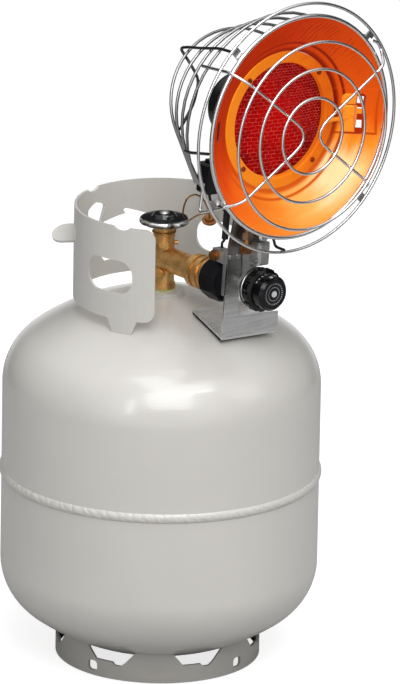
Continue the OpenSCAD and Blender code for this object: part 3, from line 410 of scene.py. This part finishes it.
def polar(g, co, centre):
    """Sockets of x, up and radius in millimetres about an axis that runs front to back
    through centre, and of the angle."""
    x = g.math("MULTIPLY", g.math("SUBTRACT", g.dot(co, ACROSS), centre.dot(ACROSS)), 1000)
    u = g.math("MULTIPLY", g.math("SUBTRACT", g.dot(co, RISE), centre.dot(RISE)), 1000)
    r = g.math("SQRT", g.math("ADD", g.math("MULTIPLY", x, x), g.math("MULTIPLY", u, u)))
    return x, u, r, g.math("ARCTAN2", u, x)


def facing_front(g, turned=0.0):
    """1 on faces turned to the front of the heater, 0 on their backs. turned moves the edge:
    below 0 it takes in faces seen from the side."""
    normal = g.add("ShaderNodeNewGeometry").outputs["True Normal"]
    return g.scale(g.dot(normal, (0, -1, 0)), turned - 0.02, turned + 0.02, 0, 1)


# ---------------------------------------------------------------- the knob

# Where a ring or a mark starts and ends, in mm: radii on the face, and distances forward on
# the barrel.
OUTER_RING = (9.3, 9.7, 10.6, 11.0)
INNER_RING = (6.2, 6.5, 6.9, 7.2)
BUTTON_R = (2.9, 3.4)
BARREL_R = (13.5, 14)
MARK_ROW = (139.5, 139.8, 141.6, 141.9)
POINTER = (147.5, 147.8, 149.9, 150.2)
FACE_MARKS = 30                             # in a whole turn
ROW_MARKS = 26
KNOB_TOP = 1.75                             # radians, the angle that the pointer stands at
ROW_SPREAD = (0.75, 0.8)                    # radians, how far each reaches to both sides
POINTER_SPREAD = (0.09, 0.12)


def knob_face(name):
    """Black dial face with two rings of plain pale marks and a pale push button."""
    m, g, shader, co = material(name)
    _, _, r, angle = polar(g, co, KNOB)
    marks = g.math("GREATER_THAN", g.math("SINE", g.math("MULTIPLY", angle, FACE_MARKS)), 0.1)
    outer = g.math("MULTIPLY", g.band(r, *OUTER_RING), marks)
    inner = g.math("MULTIPLY", g.band(r, *INNER_RING), 0.8)
    worn = g.scale(g.noise(co, 0.003, 3), 0.3, 0.6, 0.55, 1.0)
    rings = g.math("MULTIPLY", g.math("MAXIMUM", outer, inner), worn)
    tone = g.mix(rings, (0.010, 0.010, 0.012), lin(176, 178, 182))
    tone = g.mix(g.scale(r, *BUTTON_R, 1, 0), tone, lin(200, 200, 202))
    g.link(tone, shader["Base Color"])
    shader["Roughness"].default_value = 0.35
    shader["Specular IOR Level"].default_value = 0.25
    height = g.math("ADD", rings, g.math("MULTIPLY", g.noise(co, 0.0008, 2), 0.2))
    bump_from(g, shader, height, 0.3, 0.0002)
    return m


def knob_body(name):
    """Glossy black knob with a row of plain pale marks round the top of its barrel and a
    pointer mark at its front edge."""
    m, g, shader, co = material(name)
    _, _, r, angle = polar(g, co, KNOB)
    fwd = g.math("MULTIPLY", g.split(co)[1], -1000)
    off_top = g.math("ABSOLUTE", g.math("SUBTRACT", angle, KNOB_TOP))
    dashes = g.math("GREATER_THAN", g.math("SINE", g.math("MULTIPLY", angle, ROW_MARKS)), 0.0)
    row = g.math("MULTIPLY", g.band(fwd, *MARK_ROW), g.scale(off_top, *ROW_SPREAD, 1, 0))
    pointer = g.math("MULTIPLY", g.band(fwd, *POINTER),
                     g.scale(off_top, *POINTER_SPREAD, 1, 0))
    marks = g.math("MAXIMUM", g.math("MULTIPLY", row, dashes), pointer)
    marks = g.math("MULTIPLY", marks, g.scale(r, *BARREL_R, 0, 1))
    worn = g.scale(g.noise(co, 0.0016, 2), 0.35, 0.6, 0.2, 1.0)
    marks = g.math("MULTIPLY", marks, worn)
    g.link(g.mix(marks, (0.003, 0.003, 0.004), lin(214, 218, 226)), shader["Base Color"])
    g.link(g.patches(co, 0.012, 3, 0.10, 0.20), shader["Roughness"])
    shader["Specular IOR Level"].default_value = 0.3
    bump_from(g, shader, g.noise(co, 0.0012, 2), 0.1, 0.00015)
    return m


dial = knob_face("dial")
knob_black = knob_body("knob_black")

# ---------------------------------------------------------------- the glowing screen, and the glow painted on the steel round it

SCREEN_R = 57                               # mm
COARSE_MESH = (7.6, 0.035, 1.0, 0.5)        # mm of a cell; wire, width and row times that
FINE_MESH = (4.9, 0.05, 0.9, 0.55)
CORE_TONES_EDGE_SHADED = [(0.0, lin(200, 8, 8)), (0.5, lin(180, 5, 6)), (1.0, lin(112, 3, 5))]
LIP_R = 62                                  # mm, the glow painted on the bezel's inner wall reaches up to here
FOLDS = ((66, 67, 70, 73), (75, 76, 77, 78.5))      # mm, radii of the creases round the burner, where shade is painted
EDGE_R = (96, 107)                          # mm, where the painted cream highlight turns orange towards the dish's edge
WINDOW = ((82, 21), (3, 23))                # mm, middle and half size across and up
OUTLINE = (-2.6, -1.8, -0.6, 0.2)           # mm outside the window
LINES_R = (74, 82, 100, 105)                # mm, where the pressed lines are

# Places in these run clockwise round the dish from its upper left, 1 for a whole turn.
CREAM_HIGHLIGHT = (0.38, 0.46, 0.56, 0.64)
LINES_TURN = (0.01, 0.08, 0.22, 0.30)
# painted glow round the dish, from deep red-orange to a painted cream highlight
DISH_GLOW_TONES = [
    (0.0, lin(172, 32, 8)), (0.125, lin(197, 52, 10)), (0.29, lin(219, 79, 15)),
    (0.385, lin(226, 90, 14)), (0.425, lin(246, 140, 36)), (0.47, lin(252, 212, 152)),
    (0.51, lin(252, 214, 158)), (0.56, lin(240, 176, 92)), (0.63, lin(243, 140, 46)),
    (0.73, lin(238, 104, 20)), (0.79, lin(212, 66, 12)), (0.87, lin(178, 38, 9)),
    (1.0, lin(172, 32, 8))]
FOLD_SHADE_STRENGTH = [(0.0, grey(0.4)), (0.2, grey(0.85)), (0.34, grey(1)), (0.62, grey(1)),
                 (0.8, grey(0.3)), (1.0, grey(0.3))]
FOLD_SHADE_TONES = [(0.0, lin(140, 24, 8)), (0.38, lin(146, 30, 8)), (0.48, lin(226, 96, 18)),
              (0.62, lin(232, 96, 18)), (1.0, lin(140, 24, 8))]

# From left to right across the burner; the bezel's tones darken to the right as painted shade.
BEZEL_TONES = (lin(250, 148, 38), lin(244, 130, 28), lin(222, 92, 16))
# the window cover's tongues in a lit tone, its plate in a painted shade
ORANGE_LIT = (lin(232, 104, 22), lin(250, 138, 30), lin(255, 150, 44))
DEEP_SHADED = (lin(120, 20, 8), lin(150, 30, 8), lin(170, 44, 10))
# dark red painted glow of the plate behind the slot, which stands in for shade
DARK_RED = (lin(90, 12, 6), lin(110, 20, 8), lin(120, 26, 10))


def glowing_screen(name):
    """Glowing red wire screen: thin pale wires laid like bricks over a deep red core, finer
    towards the upper right. The core darkens towards its edge as painted shade from the bezel,
    and towards the upper right."""
    m, g, shader, co = material(name)
    x, u, r, _ = polar(g, co, DISH_CENTRE)
    flat = g.add("ShaderNodeCombineXYZ",
                 X=g.math("ADD", x, g.scale(g.noise(co, 0.016, 2), 0, 1, -2.2, 2.2)),
                 Y=g.math("ADD", u, g.scale(g.noise(co, 0.011, 2), 0, 1, -1.3, 1.3)))

    def mesh_of(size, wire, width, row):
        """1 on the wires of a mesh, 0 in its cells."""
        return g.add("ShaderNodeTexBrick", Vector=flat.outputs[0], Scale=1 / size,
                     Mortar__Size=wire, Mortar__Smooth=0.6, Bias=0.0, Brick__Width=width,
                     Row__Height=row).outputs["Fac"]

    finer = g.scale(g.math("ADD", x, g.math("MULTIPLY", u, 0.8)), 12, 40, 0, 1)
    wires = g.mix(finer, mesh_of(*COARSE_MESH), mesh_of(*FINE_MESH))
    # painted shade: the core darkens from the middle towards the bezel
    outward = g.math("ADD", g.scale(r, 0, SCREEN_R, 0.15, 0.85),
                     g.patches(co, 0.014, 3, -0.2, 0.2))
    core = g.ramp(outward, CORE_TONES_EDGE_SHADED)
    core = g.mix(g.math("MULTIPLY", finer, 0.35), core, lin(120, 3, 5))
    faint = g.math("MULTIPLY", wires, g.scale(g.noise(co, 0.005, 2), 0.35, 0.62, 0.15, 1.0))
    tone = g.mix(faint, core, lin(236, 100, 88))
    g.link(g.mix(1.0, tone, grey(0.30), "MULTIPLY"), shader["Base Color"])
    shader["Roughness"].default_value = 0.5
    shader["Specular IOR Level"].default_value = 0.03
    g.link(tone, shader["Emission Color"])
    shader["Emission Strength"].default_value = 0.60
    bump_from(g, shader, wires, 0.8, 0.0006)
    return m


def glow_painted_dish(name):
    """Spun steel with the burner's glow painted on the front: deep red-orange at the upper
    left and a painted cream highlight at the lower right, with painted shade in the creases
    round the burner, in the pressed lines near the top and along the outline of the window.
    Its back is plain stained steel."""
    m, g, shader, co = material(name)
    x, u, r, angle = polar(g, co, DISH_CENTRE)
    turn = g.math("FRACT", g.math("SUBTRACT", 0.375, g.math("DIVIDE", angle, 2 * math.pi)))
    sweep = g.add("ShaderNodeCombineXYZ", X=g.math("MULTIPLY", turn, 14),
                  Y=g.math("MULTIPLY", r, 0.09)).outputs[0]
    turn = g.math("ADD", turn, g.patches(sweep, 1.0, 3, -0.018, 0.018))
    tone = g.ramp(turn, DISH_GLOW_TONES)

    # the painted cream highlight turns orange towards the dish's edge
    edge = g.math("MULTIPLY", g.scale(r, *EDGE_R, 0, 1), g.band(turn, *CREAM_HIGHLIGHT))
    tone = g.mix(g.math("MULTIPLY", edge, 0.75), tone, lin(248, 140, 40))

    # painted shade in the creases round the burner
    folds = g.math("MAXIMUM", *(g.band(r, *fold) for fold in FOLDS))
    crease_shade = g.math("MULTIPLY", folds, g.ramp(turn, FOLD_SHADE_STRENGTH))
    tone = g.mix(crease_shade, tone, g.ramp(turn, FOLD_SHADE_TONES))

    # distance outside the window's frame, less than 0 inside it
    outside = g.math("MAXIMUM", *(
        g.math("SUBTRACT", g.math("ABSOLUTE", g.math("SUBTRACT", value, middle)), half)
        for value, (middle, half) in zip((x, u), WINDOW)))
    # painted shade along the window's pressed outline, stronger lower down
    outline = g.math("MULTIPLY", g.band(outside, *OUTLINE), g.scale(u, -30, 20, 0.9, 0.3))
    tone = g.mix(outline, tone, lin(190, 58, 12))

    # slanting pressed lines near the top, in patches, darkened as painted shade
    slant = g.math("ADD", g.math("MULTIPLY", x, 0.80), g.math("MULTIPLY", u, -0.60))
    slant = g.math("ADD", slant, g.scale(g.noise(co, 0.03, 3), 0, 1, -9, 9))
    thin = g.scale(g.math("SINE", g.math("MULTIPLY", slant, 1.25)), 0.72, 0.95, 0, 1)
    upper = g.math("MULTIPLY", g.band(turn, *LINES_TURN), g.band(r, *LINES_R))
    patchy = g.scale(g.noise(co, 0.014, 2), 0.36, 0.50, 0, 1)
    lines = g.math("MULTIPLY", g.math("MULTIPLY", thin, upper), patchy)
    tone = g.mix(g.math("MULTIPLY", lines, 0.7), tone, lin(128, 30, 10))

    inside = facing_front(g)
    stain = g.ramp(g.patches(co, 0.03, 4, 0, 1),
                   [(0.0, (0.50, 0.49, 0.47)), (1.0, (0.62, 0.61, 0.59))])
    # painted shade: the base colour darkens most in the creases
    lit = g.dim(g.scale(crease_shade, 0, 1, 0.60, 0.35), tone)
    g.link(g.mix(inside, stain, lit), shader["Base Color"])
    g.link(g.scale(inside, 0, 1, 1.0, 0.35), shader["Metallic"])
    shader["Specular IOR Level"].default_value = 0.05
    rings = g.noise(g.stretched(sweep, (0.25, 9, 1)), 1.0, 2)
    g.link(g.scale(rings, 0.3, 0.7, 0.30, 0.42), shader["Roughness"])
    # painted glow: the tone is also emitted from the front faces
    g.link(tone, shader["Emission Color"])
    g.link(g.math("MULTIPLY", inside, 0.55), shader["Emission Strength"])
    pressed = g.scale(outside, -2.0, 0.0, 1, 0)
    height = g.math("ADD", pressed, g.math("MULTIPLY", rings, 0.05))
    lines = g.math("MULTIPLY", lines, inside)
    height = g.math("ADD", height, g.math("MULTIPLY", lines, -0.25))
    bump_from(g, shader, height, 0.6, 0.0015)
    return m


def glow_painted_trim(name, tones):
    """Thin pressed steel close to the burner: the burner's glow painted on the front and on a
    lip round the screen, in tones that change from left to right as painted shade; stained
    steel behind."""
    m, g, shader, co = material(name)
    x, u, r, _ = polar(g, co, DISH_CENTRE)
    stain = g.noise(co, 0.012, 4)
    # painted shade: the tone changes from left to right across the burner
    across = g.math("ADD", g.math("MULTIPLY", x, 0.95), g.math("MULTIPLY", u, 0.3))
    across = g.math("ADD", g.scale(across, -66, 66, 0.1, 0.9),
                    g.scale(stain, 0.3, 0.7, -0.1, 0.1))
    tone = g.ramp(across, list(zip((0.0, 0.5, 1.0), tones)))
    # painted glow on the lip round the screen
    lip = g.math("MULTIPLY", g.scale(r, LIP_R - 1, LIP_R, 1, 0), facing_front(g, -0.5))
    painted_glow_mask = g.math("MAXIMUM", facing_front(g), lip)
    plain = g.mix(g.scale(stain, 0.3, 0.7, 0, 1), (0.42, 0.40, 0.37), (0.58, 0.57, 0.55))
    lit = g.mix(1.0, tone, grey(0.6), "MULTIPLY")
    g.link(g.mix(painted_glow_mask, plain, lit), shader["Base Color"])
    g.link(g.scale(painted_glow_mask, 0, 1, 1.0, 0.3), shader["Metallic"])
    shader["Specular IOR Level"].default_value = 0.05
    g.link(g.scale(stain, 0.3, 0.7, 0.34, 0.48), shader["Roughness"])
    g.link(tone, shader["Emission Color"])
    g.link(g.math("MULTIPLY", painted_glow_mask, 0.5), shader["Emission Strength"])
    bump_from(g, shader, g.noise(co, 0.0012, 3), 0.08, 0.0002)
    return m


glow = glowing_screen("glow")
dish_painted_glow = glow_painted_dish("dish_painted_glow")
bezel_painted_glow = glow_painted_trim("bezel_painted_glow", BEZEL_TONES)
tongue_painted_glow = glow_painted_trim("tongue_painted_glow", ORANGE_LIT)
shaded_plate_glow = glow_painted_trim("shaded_plate_glow", DEEP_SHADED)
slot_painted_glow = glow_painted_trim("slot_painted_glow", DARK_RED)

# ---------------------------------------------------------------- the window's cover, and a shade plate behind the slot

# All in mm.
DISH_R = 108.5
DISH_DEPTH = 45.8
SKIN = 1.5                                  # from the dish's inner curve to its outer face
COVER_LIFT = 0.1                            # gap between the dish and a cover
COVER_THICK = 0.8
COVER_GRID = 1.5                            # about the size of a cover's faces
TONGUE_HIGH = 1.3
TONGUE_SLOPE = 1.2                          # width of the slope at a tongue's edge
TONGUE_TONE = 0.3                           # height above which a face takes the tongues' lit tone; lower faces take the plate's painted shade
WINDOW_BOX = ((71, 98), (-23, 23))
SLOT_BOX = ((-93, -77), (-14, 14))
HOLES = [(86.6, 92, lo, hi) for lo, hi in ((10, 17), (-0.5, 6), (-14, -6.5))]
TONGUES = [(73.8, 86, lo, hi) for lo, hi in ((8.6, 19.6), (-3.6, 7.8), (-18.5, -4.4))]


def dish_back(x, u):
    """Depth in mm of the dish's outer face behind the rim."""
    return DISH_DEPTH * (1 - (x * x + u * u) / (DISH_R + 0.5) ** 2) + SKIN


def back_plate(name, xs, us, looks, holes=(), tongues=()):
    """Thin plate lying on the dish's outer face over the box xs by us, in mm, with rectangular
    holes. tongues lists boxes that are pressed forward. looks are the materials of the plate
    and of its tongues."""

    def grid(ends, k):
        """Mesh lines along one way: the edges of every box, which holds them at k and k + 1,
        and evenly spaced lines between them."""
        cuts = sorted({*ends, *(edge for box in (*holes, *tongues) for edge in box[k:k + 2])})
        lines = []
        for lo, hi in zip(cuts, cuts[1:]):
            parts = max(1, round((hi - lo) / COVER_GRID))
            lines += [lo + (hi - lo) * n / parts for n in range(parts)]
        return lines + [cuts[-1]]

    def pressed(x, u):
        high = 0
        for x0, x1, u0, u1 in tongues:
            inset = min(x - x0, x1 - x, u - u0, u1 - u)
            high = max(high, TONGUE_HIGH * min(1, max(0, inset / TONGUE_SLOPE)))
        return high

    gx, gu = grid(xs, 0), grid(us, 2)
    verts, faces, index, flat = [], [], {}, []
    for side in (0, 1):
        for i, x in enumerate(gx):
            for j, u in enumerate(gu):
                depth = dish_back(x, u) + COVER_LIFT - pressed(x, u) + side * COVER_THICK
                index[side, i, j] = len(verts)
                verts.append(heater(x, DISH_UP + u, DISH_FWD - depth))
                flat.append((x, u))

    def solid(i, j):
        if not (0 <= i < len(gx) - 1 and 0 <= j < len(gu) - 1):
            return False
        x, u = (gx[i] + gx[i + 1]) / 2, (gu[j] + gu[j + 1]) / 2
        return not any(x0 < x < x1 and u0 < u < u1 for x0, x1, u0, u1 in holes)

    for i in range(len(gx) - 1):
        for j in range(len(gu) - 1):
            if not solid(i, j):
                continue
            q = [(i, j), (i + 1, j), (i + 1, j + 1), (i, j + 1)]
            faces.append([index[0, a, b] for a, b in q])
            faces.append([index[1, a, b] for a, b in reversed(q)])
            for k, (di, dj) in enumerate(((0, -1), (1, 0), (0, 1), (-1, 0))):
                if not solid(i + di, j + dj):
                    a, b = q[k], q[(k + 1) % 4]
                    faces.append([index[0, *b], index[0, *a], index[1, *a], index[1, *b]])
    mesh = bpy.data.meshes.new(name)
    mesh.from_pydata(verts, [], faces)
    mesh.validate()
    plate = bpy.data.objects.new(name, mesh)
    scene.collection.objects.link(plate)
    for look in looks:
        mesh.materials.append(look)
    for p in mesh.polygons:
        p.use_smooth = True
        middle = [sum(flat[v][k] for v in p.vertices) / len(p.vertices) for k in (0, 1)]
        p.material_index = int(pressed(*middle) > TONGUE_TONE)
    mesh.set_sharp_from_angle(angle=math.radians(30))
    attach(plate, "heater")


# the window's cover: its plate in a painted shade and its pressed tongues in a lit tone, both
# with painted glow
back_plate("window_cover", *WINDOW_BOX, (shaded_plate_glow, tongue_painted_glow), HOLES, TONGUES)
# a plate behind the slot, put there for painted shade in a dark red painted glow
back_plate("slot_shade_plate", *SLOT_BOX, (slot_painted_glow,))

# ---------------------------------------------------------------- a material for every node

FINISH = {
    tank_paint: ["lower_shell", "upper_shell", "valve_boss", "collar"],
    shaded_foot_paint: ["foot_ring"],
    weld_paint: ["girth_weld"],
    brass: ["valve_body", "valve_bonnet", "inlet_nipple", "relief_cap", "bleeder_screw"],
    brass_bright: ["lanyard"],
    bronze: ["outlet_plug", "gas_fittings"],
    sealant: ["thread_sealant"],
    wheel_black: ["handwheel"],
    knob_black: ["control_knob"],
    satin_black: ["tilt_switch"],
    nut_black: ["coupling_nut"],
    rubber: ["seat_disc", "foot_pad", "switch_lead"],
    casting: ["regulator_body", "regulator_cover"],
    dial: ["knob_cap"],
    brushed: ["bracket", "drum_clamp", "gas_tube"],
    chrome: ["magnet_unit", "dish_rim", "guard_ring_outer", "guard_ring_large",
             "guard_ring_middle", "guard_ring_small", "hairpin_left", "hairpin_right"],
    wire_dark: ["rear_arc_1", "rear_arc_2", "rear_arc_3", "rear_arc_4"],
    clip_steel: ["rim_clips", "dial_bezel"],
    steel: ["valve_spindle", "handwheel_screw", "regulator_screws", "control_shaft",
            "push_rod"],
    black_gloss: ["mixing_drum", "rear_strut_left", "rear_strut_right", "lower_strut"],
    copper: ["gas_jet", "thermocouple_lead"],
    dark_steel: ["burner_pan"],
    scorched: ["bezel_screws"],
    glow: ["emitter_screen", "inner_screen"],
    dish_painted_glow: ["reflector"],
    bezel_painted_glow: ["burner_bezel"],
    tongue_painted_glow: ["thermocouple"],
}
for look, names in FINISH.items():
    for name in names:
        NODES[name].data.materials.clear()
        NODES[name].data.materials.append(look)

# ---------------------------------------------------------------- smooth shading

CREASE = 32                                 # degrees, faces that meet at more stay sharp
MOST_CORNERS = 40                           # how many are averaged at a point, at most
MICRONS = 1e6                               # in a metre; corners in the same one are a point
ALSO_SOFT = ("bracket", "emitter_screen")


def soften(o):
    """Shading normals averaged over neighbouring faces that meet at less than CREASE."""
    m = o.data
    count = len(m.loops)
    corner = np.zeros(count, np.int32)
    m.loops.foreach_get("vertex_index", corner)
    co = np.zeros(len(m.vertices) * 3)
    m.vertices.foreach_get("co", co)
    _, place = np.unique(np.round(co.reshape(-1, 3) * MICRONS), axis=0, return_inverse=True)
    place = place.ravel()[corner]
    size = np.zeros(len(m.polygons), np.int32)
    m.polygons.foreach_get("loop_total", size)
    area = np.zeros(len(m.polygons))
    m.polygons.foreach_get("area", area)
    flat = np.zeros(len(m.polygons) * 3)
    m.polygons.foreach_get("normal", flat)
    face = np.repeat(np.arange(len(size)), size)
    normal = flat.reshape(-1, 3)[face]
    weight = normal * area[face][:, None]
    order = np.argsort(place, kind="stable")
    p, n, w = place[order], normal[order], weight[order]
    total = w.copy()
    for step in range(1, min(MOST_CORNERS, count)):
        same = p[step:] == p[:-step]
        if not same.any():
            break
        near = same & ((n[step:] * n[:-step]).sum(1) > math.cos(math.radians(CREASE)))
        total[step:] += w[:-step] * near[:, None]
        total[:-step] += w[step:] * near[:, None]
    length = np.linalg.norm(total, axis=1, keepdims=True)
    total = np.where(length > 0, total / np.where(length > 0, length, 1), n)
    out = np.zeros_like(total)
    out[order] = total
    m.polygons.foreach_set("use_smooth", [True] * len(size))
    m.normals_split_custom_set(out)


# Faceted nodes have three vertices of their own for each face. The others keep the normals
# they came with, apart from ALSO_SOFT.
for o in NODES.values():
    if len(o.data.vertices) == 3 * len(o.data.polygons) or o.name in ALSO_SOFT:
        soften(o)
